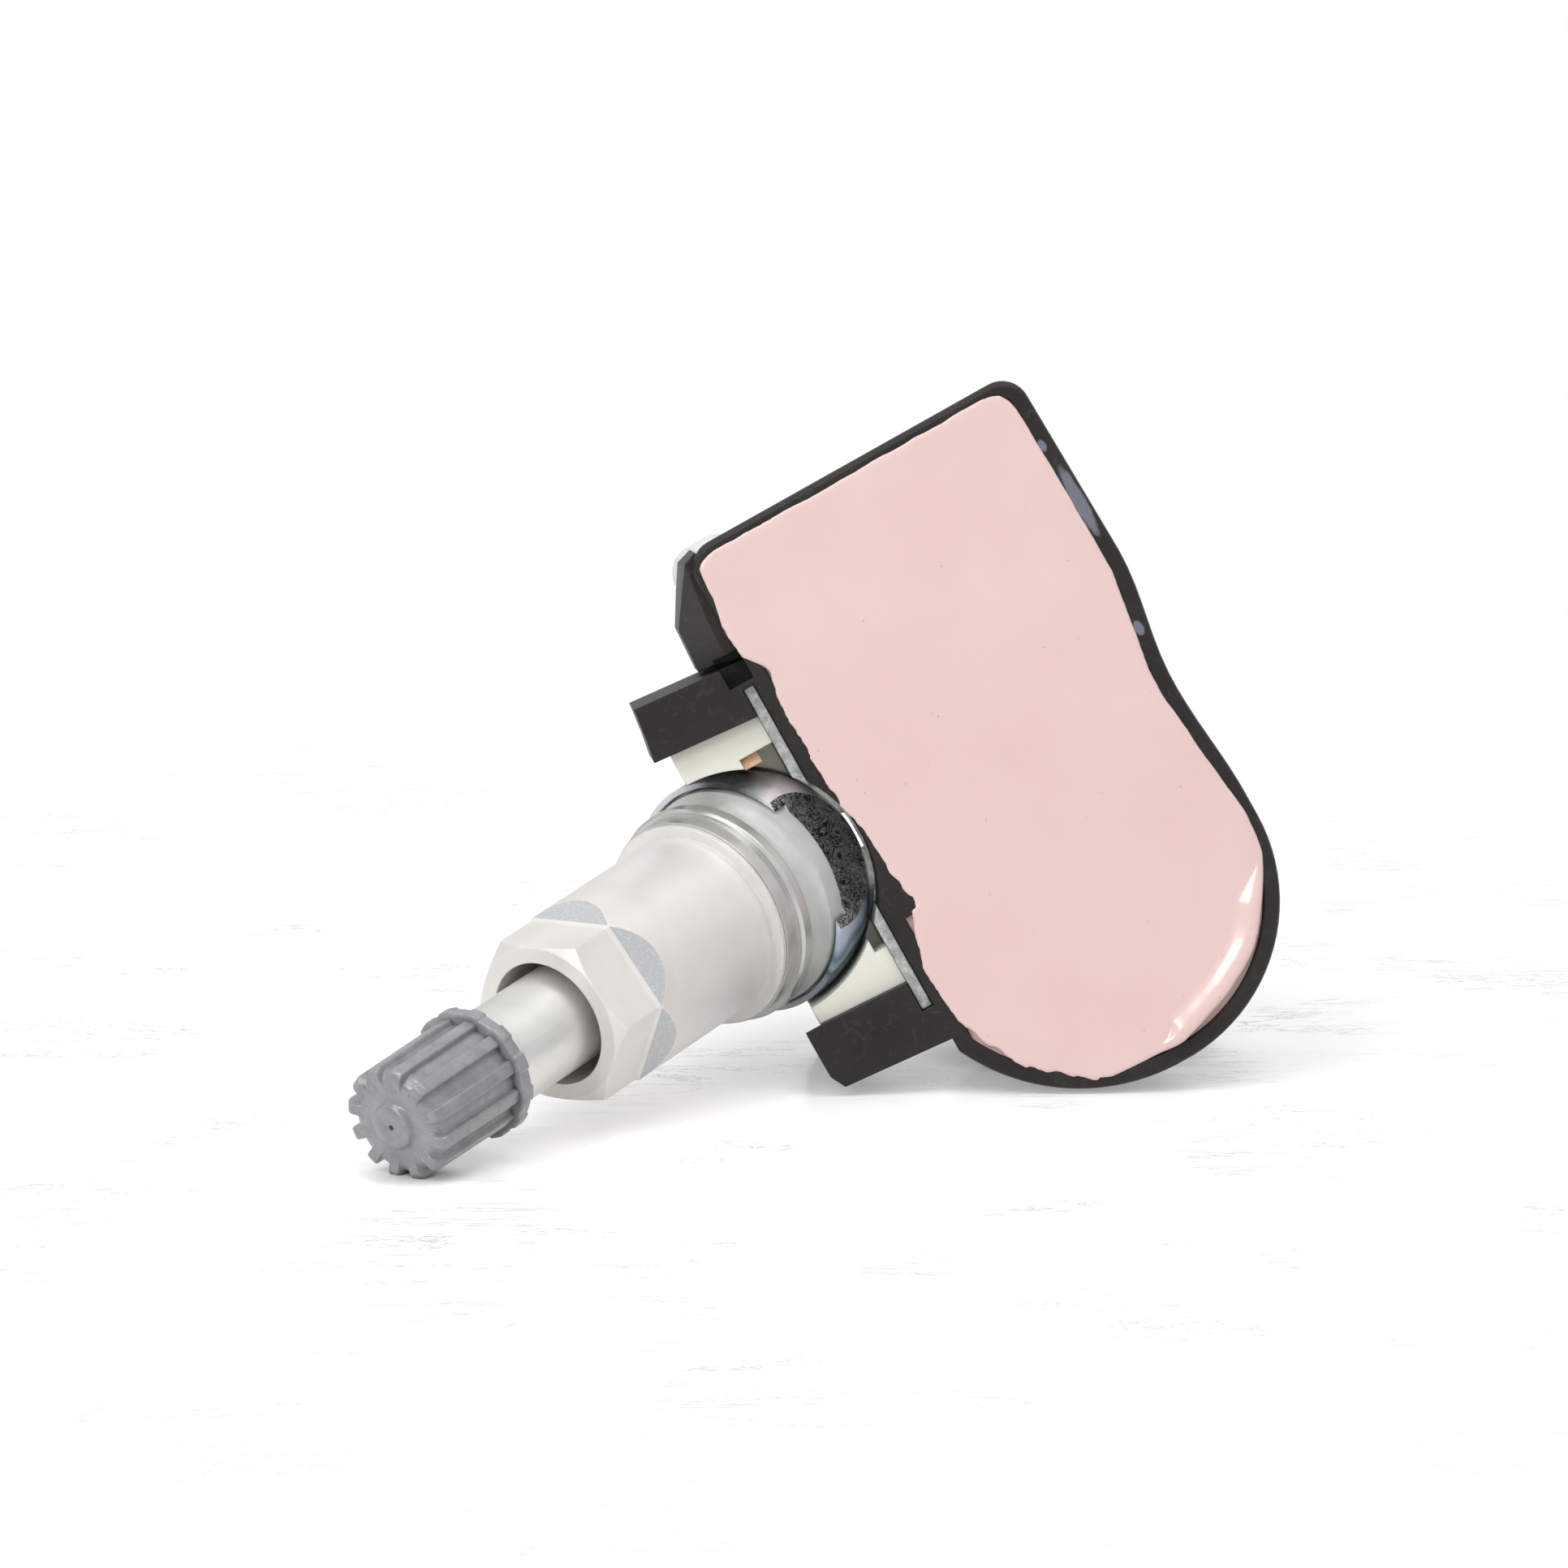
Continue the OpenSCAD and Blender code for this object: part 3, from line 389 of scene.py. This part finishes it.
MAT = {
    "housing": black_plastic(),
    "potting": pink_resin(),
    "rest_pad": pale_moulded("pale_rest", "d6d4d1", "e4e3e1", 0.35),
    "circuit_board": simple("board_lacquer", "1f5a30", "2f7a42", 0.3),
    "coin_cell": simple("cell_steel", "b4b7b8", "d2d4d4", 0.3, 1.0),
    "sensor_chip": simple("chip_epoxy", "1c1c1d", "2c2c2d", 0.5),
    "antenna_core": simple("ferrite", "3a3735", "4a4643", 0.7),
    "antenna_winding": simple("copper_wire", "b5703a", "cf8a4e", 0.3, 1.0, 0.4),
    "seat_pad_upper": pale_moulded("cream_nylon", "e7e8d9", "f1f1e6", 0.34, 0.25),
    "retaining_plate": sheet_steel(),
    "contact_spring": simple("copper_leaf", "d9a98b", "f3d2bb", 0.3, 0.6),
    "collar": chrome(),
    "valve_stem": turned("drawn_aluminium", "d3d3ce", "e3e3df", 0.34, 0.6),
    "grommet": rubber("pale_rubber", "c3c5c2", "d3d5d2", 0.36),
    "seal_washer": turned("washer_metal", "b4b4b1", "cdcdca", 0.28, 0.7, 0.3),
    "sleeve_nut": turned("blasted_aluminium", "dedbd7", "e7e4e1", 0.43, 0.3, 0.3, 0.16, 0.8,
                         "b9bcbd"),
    "core_body": turned("core_brass", "c79c4a", "d9b266", 0.3, 1.0),
    "core_seal": rubber("red_rubber", "8e2c24", "a53a30", 0.5),
    "pin_seal": rubber("black_rubber", "222222", "303030", 0.6),
    "cap": cap_plastic(),
}
SAME = {
    "cell_tab_upper": "coin_cell", "cell_tab_lower": "coin_cell", "timing_crystal": "coin_cell",
    "seat_pad_lower": "seat_pad_upper", "tee_bolt": "retaining_plate", "core_pin": "core_body",
    "core_spring": "retaining_plate", "cap_gasket": "pin_seal",
}
for name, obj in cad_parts.items():
    obj.data.materials.clear()
    obj.data.materials.append(MAT[SAME.get(name, name)])


# Mesh helpers
def make(name, verts, faces, look, body, sharp_deg):
    """A mesh piece from points in metres in the frame."""
    me = bpy.data.meshes.new(name)
    me.from_pydata(verts, [], faces)
    me.validate()
    bm = bmesh.new()
    bm.from_mesh(me)
    bmesh.ops.recalc_face_normals(bm, faces=bm.faces)
    bm.to_mesh(me)
    bm.free()
    obj = bpy.data.objects.new(name, me)
    bpy.context.scene.collection.objects.link(obj)
    me.materials.append(look)
    for p in me.polygons:
        p.use_smooth = True
    me.set_sharp_from_angle(angle=math.radians(sharp_deg))
    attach(obj, body)
    return obj


def closed_grid(verts, cols):
    """Quads between rows of points that close on themselves, and a face on each end."""
    faces = []
    for i in range(len(verts) // cols - 1):
        for k in range(cols):
            m = (k + 1) % cols
            faces.append((i * cols + k, i * cols + m, (i + 1) * cols + m, (i + 1) * cols + k))
    faces.append(tuple(range(len(verts) - cols, len(verts))))
    faces.append(tuple(range(cols - 1, -1, -1)))
    return faces


def smooth_step(x):
    x = max(0.0, min(1.0, x))
    return x * x * (3 - 2 * x)


# Ribbed cap: lengths along the valve, radii, and angles round it
CAP_S, CAP_TOP = 33.0, 43.3
CAP_BORE = 3.66
CAP_GASKET_S = CAP_TOP - 1.9
FACE_S = CAP_TOP - 0.55
FLANGE_S, FLANGE_R = CAP_S + 1.0, 4.84
LUG, LUG_DROP = 0.14, 0.08
RIB_S, GROOVE_END, RIB_END = FLANGE_S + 0.02, 41.7, 42.28
GROOVE_R, RIB_R = 4.0, 4.49
GROOVE_TAPER, RIB_TAPER = 0.06, 0.07
SIDE_STEPS, ROUND_STEPS = 6, 10
RIBS, RIB_PHASE = 12, 21.0
RIB_OFFSETS = [0, 2, 4, 5.3, 6.1, 6.7, 7.2, 7.7, 8.3, 9, 10, 12]
RIB_FLANK = (5.7, 8.7)
FLOOR_GAP = 0.01 * MM


def rib_angles():
    """Angles round the cap, close together on each rib's two flanks, with the rib's share there."""
    lo, hi = RIB_FLANK
    half_pitch = 180 / RIBS
    out = []
    for i in range(RIBS):
        mid = RIB_PHASE + 360 * i / RIBS
        for o in [-half_pitch] + [-o for o in reversed(RIB_OFFSETS[1:])] + RIB_OFFSETS:
            out.append((math.radians(mid + o), 1 - smooth_step((abs(o) - lo) / (hi - lo))))
    return out


def rounded(r0, s0, radius):
    """Points of an outward quarter round after its first, from the side to the face."""
    out = []
    for i in range(1, ROUND_STEPS + 1):
        a = math.radians(90) * i / ROUND_STEPS
        out.append((r0 - radius + radius * math.cos(a), s0 - radius + radius * math.sin(a)))
    return out


def cap_rows():
    """The cap's profile from its bore round to its nose: (r, s) in a groove and (r, s) on a rib."""
    side = [i / SIDE_STEPS for i in range(SIDE_STEPS + 1)]
    groove = [(GROOVE_R - GROOVE_TAPER * f, RIB_S + (GROOVE_END - RIB_S) * f) for f in side]
    groove += rounded(3.94, FACE_S - 0.01, 1.05)
    groove += [(2.75, FACE_S), (2.6, FACE_S), (2.45, FACE_S), (2.2, FACE_S)]
    rib = [(RIB_R - RIB_TAPER * f, RIB_S + (RIB_END - RIB_S) * f) for f in side]
    rib += rounded(4.42, FACE_S + 0.16, 0.63)
    rib += [(3.55, FACE_S + 0.13), (3.32, FACE_S + 0.05), (3.1, FACE_S), (2.2, FACE_S)]
    inside = [(0.02, CAP_GASKET_S), (CAP_BORE, CAP_GASKET_S), (CAP_BORE, CAP_S + 0.1),
              (CAP_BORE + 0.1, CAP_S)]
    # The mouth's ring has a third value: how far the lugs stand out there.
    ring = [(FLANGE_R - 0.1, CAP_S, 0.6), (FLANGE_R - 0.02, CAP_S + 0.04, 0.9),
            (FLANGE_R, CAP_S + 0.13, 1), (FLANGE_R, FLANGE_S - 0.14, 1),
            (FLANGE_R - 0.02, FLANGE_S - 0.05, 0.9), (FLANGE_R - 0.1, FLANGE_S, 0.5),
            (4.6, FLANGE_S + 0.01, 0)]
    boss = [(2.0, FACE_S + 0.02), (1.84, FACE_S + 0.08), (1.72, FACE_S + 0.22),
            (1.66, FACE_S + 0.36), (1.58, FACE_S + 0.46), (1.42, FACE_S + 0.53),
            (1.15, CAP_TOP), (0.7, CAP_TOP - 0.03), (0.32, CAP_TOP - 0.05), (0.2, CAP_TOP - 0.1),
            (0.16, CAP_TOP - 0.35), (0.02, CAP_TOP - 0.45)]
    rows = [(p, p) for p in inside]
    for r, s, lug in ring:
        drop = LUG_DROP if s < CAP_S + 0.5 else 0
        rows.append(((r, s), (r + LUG * lug, s - drop)))
    return rows + list(zip(groove, rib)) + [(p, p) for p in boss]


def build_cap():
    """The ribbed cap, which rests on the floor and never goes below it."""
    angles = rib_angles()
    verts = []
    for (r0, s0), (r1, s1) in cap_rows():
        for a, w in angles:
            r = r0 + (r1 - r0) * w
            v = VALVE @ Vector((r * math.cos(a), r * math.sin(a), s0 + (s1 - s0) * w))
            v.z = max(v.z, FLOOR_Z + FLOOR_GAP)
            verts.append(tuple(v))
    faces = closed_grid(verts, len(angles))
    obj = make("ribbed_cap", verts, faces, MAT["cap"], "cap_turn", 50)
    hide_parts("cap")


build_cap()

# Skin of the sealing compound, in the housing's axes
PINK_EDGE = [
    (9.56, 23.61), (8.65, 23.09), (8.36, 20.23), (8.09, 17.29), (8.29, 15.8), (9.45, 14.06),
    (9.04, 11.6), (9.08, 6.76), (9.18, 4.84), (9.57, 0.97), (10.45, -6.22), (9.91, -6.82),
    (9.5, -8.31), (8.98, -10.1), (8.63, -11.97), (8.77, -14.82), (9.61, -17.02), (10.33, -18.47),
    (11.54, -20.88), (13.41, -22.35), (14.55, -23.4), (17.05, -24.85), (20.25, -25.0),
    (23.05, -25.15), (27.73, -23.55), (30.95, -21.62), (33.26, -18.7), (34.92, -15.69),
    (35.28, -12.43), (34.6, -6.81), (34.1, -0.38), (34.7, 3.68), (35.3, 8), (35.3, 10.4),
    (35.15, 17), (34.95, 22.0), (34.3, 23.4), (33.2, 23.75), (31.5, 23.78), (11.4, 23.73),
    (10.4, 23.7),
]
EDGE_STEP, EDGE_ROUND = 0.3, 0.6
JITTER = 0.32
SKIN_CENTRE = Vector((22.3, -1.0))
# Round the lobe's middle the compound climbs the wall between these angles, each with its fade.
LOBE = Vector((22.2, -13.0))
WET_FROM, WET_FADE_IN, WET_TO, WET_FADE_OUT = -96, 14, -14, 16
MENISCUS_W, MENISCUS_H = 1.7, 0.5
# The rolled-over edge: inset, height, share of the meniscus's width, share of its climb.
EDGE_PROFILE = [(0.0, 5.6, 0, 0), (0.0, 6.42, 0, 0.3), (0.05, 6.5, 0, 0.6), (0.14, 6.565, 0, 0.85),
                (0.3, 6.6, 0, 0.97), (0.5, 6.615, 0, 1)]
MENISCUS_STEPS = 10
NORMAL_PASSES = 6


def dense_loop(points, step):
    """Even points along a closed outline, rounded a little at its corners."""
    pts = [Vector(p) for p in points]
    n = len(pts)
    out = []
    for i in range(n):
        p0, p1, p2, p3 = pts[i - 1], pts[i], pts[(i + 1) % n], pts[(i + 2) % n]
        m = max(1, int(round((p2 - p1).length / step)))
        for j in range(m):
            t = j / m
            curve = 0.5 * (2 * p1 + (p2 - p0) * t + (2 * p0 - 5 * p1 + 4 * p2 - p3) * t * t
                           + (3 * p1 - p0 - 3 * p2 + p3) * t ** 3)
            out.append(p1.lerp(p2, t).lerp(curve, EDGE_ROUND))
    return out


def raggedness(p):
    """Most ragged beside the valve, least round the foot of the round end."""
    if p.y < -14 and p.x > 16:
        return 0.12
    return 1.0 if p.x < 16 and p.y < 21 else 0.3


def ragged_edge():
    loop = dense_loop(PINK_EDGE, EDGE_STEP)
    n = len(loop)
    raw = [rng.uniform(-1, 1) for _ in range(n)]
    out = []
    for i, p in enumerate(loop):
        jitter = (raw[i - 2] + raw[i - 1] + raw[i] + raw[(i + 1) % n]) / 4
        out.append(p + (p - SKIN_CENTRE).normalized() * jitter * JITTER * raggedness(p))
    return out


def inward(edge):
    """Smoothed directions from the edge into the skin."""
    n = len(edge)
    out = []
    for i in range(n):
        along = (edge[(i + 1) % n] - edge[i - 1]).normalized()
        across = Vector((along.y, -along.x))
        out.append(across if across.dot(SKIN_CENTRE - edge[i]) > 0 else -across)
    for _ in range(NORMAL_PASSES):
        out = [(out[i - 1] + out[i] * 2 + out[(i + 1) % n]).normalized() for i in range(n)]
    return out


def wetness(q):
    """How far the compound climbs the wall at a point of the edge."""
    turn = math.degrees(math.atan2(q.y - LOBE.y, q.x - LOBE.x))
    return (smooth_step((turn - WET_FROM) / WET_FADE_IN)
            * smooth_step((WET_TO - turn) / WET_FADE_OUT))


def build_skin():
    """The compound's glossy face: a crown that rolls over at its ragged edge."""
    edge = ragged_edge()
    ways = inward(edge)
    wet = [wetness(q) for q in edge]
    top_inset, top_z = EDGE_PROFILE[-1][:2]
    profile = list(EDGE_PROFILE)
    for k in range(1, MENISCUS_STEPS + 1):
        f = k / MENISCUS_STEPS
        profile.append((top_inset + 0.004 * f, top_z, f, 1 - smooth_step(f)))
    verts = []
    for inset, z, width, climb in profile:
        for q, way, w in zip(edge, ways, wet):
            p = q + way * (inset + MENISCUS_W * width * w)
            verts.append(tuple(HOUSE @ Vector((p.x, p.y, z + MENISCUS_H * climb * w))))
    faces = closed_grid(verts, len(edge))
    make("compound_skin", verts, faces, MAT["potting"], "sensor", 60)


build_skin()

# Floor: scratched gloss near the object, plain white further out
FLOOR_HALF = 3.0
FLOOR_LIFT = 0.3
FAR_RING = (0.045, 0.16)
# Where the object touches: middle and half size in metres. The floor isn't lifted there, which
# paints a darker contact shade.
CONTACT_SHADE_SPOTS = [(0.0265, 0.009, 0.011, 0.008), (-0.0231, -0.0291, 0.004, 0.003)]
SCRATCH_STRETCH, SCRATCH_TURN = (0.25, 1.6, 1), (0, 0, 0.25)


def build_floor():
    t = material("glossy_white_floor")
    stretched = t.add("ShaderNodeMapping", Vector=t.pos)
    stretched.inputs["Scale"].default_value = SCRATCH_STRETCH
    stretched.inputs["Rotation"].default_value = SCRATCH_TURN
    lines = t.add("ShaderNodeTexNoise", Vector=stretched.outputs[0], Scale=90, Detail=8.0,
                  Roughness=0.75, Distortion=1.2).outputs["Fac"]
    scratch = t.times(t.hairlines(lines, 0.014), t.level(t.noise(18, 3), 0, 1, (0.46, 0.58)))
    gloss = t.add("ShaderNodeBsdfPrincipled", Roughness=0.22, Specular_IOR_Level=0.3,
                  Base_Color=t.mix(t.times(scratch, 0.9), srgb("f4f3f3"), srgb("5f5a58")),
                  Normal=t.bump(t.noise(30, 2), 0.2, 0.2))
    path = t.add("ShaderNodeLightPath")
    seen = t.math("MAXIMUM", path.outputs["Is Camera Ray"], path.outputs["Is Glossy Ray"])
    seen = t.math("MAXIMUM", seen, path.outputs["Is Transmission Ray"])
    x, y, _ = t.add("ShaderNodeSeparateXYZ", Vector=t.pos).outputs
    # Painted contact shade: the lift fades out round the spots.
    open_floor = 1.0
    for spot in CONTACT_SHADE_SPOTS:
        clear = t.level(t.reach(x, y, spot), 0, 1, (0.1, 1.3))
        open_floor = t.math("MINIMUM", clear, open_floor)
    lift = t.add("ShaderNodeEmission", Strength=t.times(t.times(seen, open_floor), FLOOR_LIFT))
    both = t.add("ShaderNodeAddShader")
    t.put(both.inputs[0], gloss.outputs[0])
    t.put(both.inputs[1], lift.outputs[0])
    white = t.add("ShaderNodeEmission", Strength=1.0)
    away = t.add("ShaderNodeVectorMath", {"operation": "LENGTH"})
    t.put(away.inputs[0], t.pos)
    far = t.level(away.outputs["Value"], 0, 1, FAR_RING)
    t.show(t.blend(t.times(far, seen), both, white))
    me = bpy.data.meshes.new("studio_floor")
    corners = [(-1, -1), (1, -1), (1, 1), (-1, 1)]
    me.from_pydata([(i * FLOOR_HALF, j * FLOOR_HALF, FLOOR_Z) for i, j in corners], [],
                   [(0, 1, 2, 3)])
    obj = bpy.data.objects.new("studio_floor", me)
    bpy.context.scene.collection.objects.link(obj)
    me.materials.append(t.owner)


# Light
WORLD_LIGHT = 0.64
HORIZON, ZENITH, ZENITH_AT = (0.55, 0.55, 0.56), (1, 1, 1), 0.75


def build_world():
    """Even light, white where the camera sees it, and a soft gradient in reflections."""
    world = bpy.data.worlds.new("studio")
    bpy.context.scene.world = world
    t = Tree(world, "ShaderNodeOutputWorld")
    path = t.add("ShaderNodeLightPath")
    up = t.add("ShaderNodeSeparateXYZ", Vector=t.coord.outputs["Generated"]).outputs[2]
    white = t.add("ShaderNodeBackground", Strength=1.0)
    light = t.add("ShaderNodeBackground", Strength=WORLD_LIGHT)
    glossy = t.add("ShaderNodeBackground", Color=t.ramp(up, (0.0, HORIZON), (ZENITH_AT, ZENITH)))
    seen = t.math("MAXIMUM", path.outputs["Is Camera Ray"], path.outputs["Is Transmission Ray"])
    lit = t.blend(path.outputs["Is Glossy Ray"], light, glossy)
    t.show(t.blend(seen, lit, white))


def aim(obj, location, way):
    obj.location = location
    obj.rotation_mode = "QUATERNION"
    obj.rotation_quaternion = way.to_track_quat("-Z", "Y")
    bpy.context.scene.collection.objects.link(obj)


def area(name, location, target, size, power):
    data = bpy.data.lights.new(name, "AREA")
    data.shape = "RECTANGLE"
    data.size, data.size_y = size
    data.energy = power
    aim(bpy.data.objects.new(name, data), Vector(location), Vector(target) - Vector(location))


build_floor()
build_world()
area("key_above_left", (-0.35, -0.25, 0.55), (0, 0, 0), (0.35, 0.35), 1.5)
area("softbox_left", (-0.43, -0.55, 0.3), (0, 0, 0), (0.2, 0.26), 1.25)
area("top_right", (0.16, -0.12, 0.7), (0, 0, 0), (0.35, 0.35), 1.3)
area("fill_right", (0.55, -0.35, 0.25), (0.01, 0, 0), (0.3, 0.5), 0.25)

# Camera, fitted to the photo
CAMERA_AZ, CAMERA_EL, CAMERA_DIST = -2.3, 12.0, 0.620
LENS, SENSOR, SHIFT, CLIP_START = 190.3, 36, (0.02459, 0.06951), 0.01


def build_camera():
    az, el = math.radians(CAMERA_AZ), math.radians(CAMERA_EL)
    toward = Vector((math.sin(az) * math.cos(el), -math.cos(az) * math.cos(el), math.sin(el)))
    cam = bpy.data.cameras.new("camera")
    cam.lens, cam.sensor_width, cam.clip_start = LENS, SENSOR, CLIP_START
    cam.shift_x, cam.shift_y = SHIFT
    obj = bpy.data.objects.new("camera", cam)
    aim(obj, BALL + toward * CAMERA_DIST, -toward)
    bpy.context.scene.camera = obj


build_camera()
bpy.context.scene.view_settings.view_transform = "Standard"
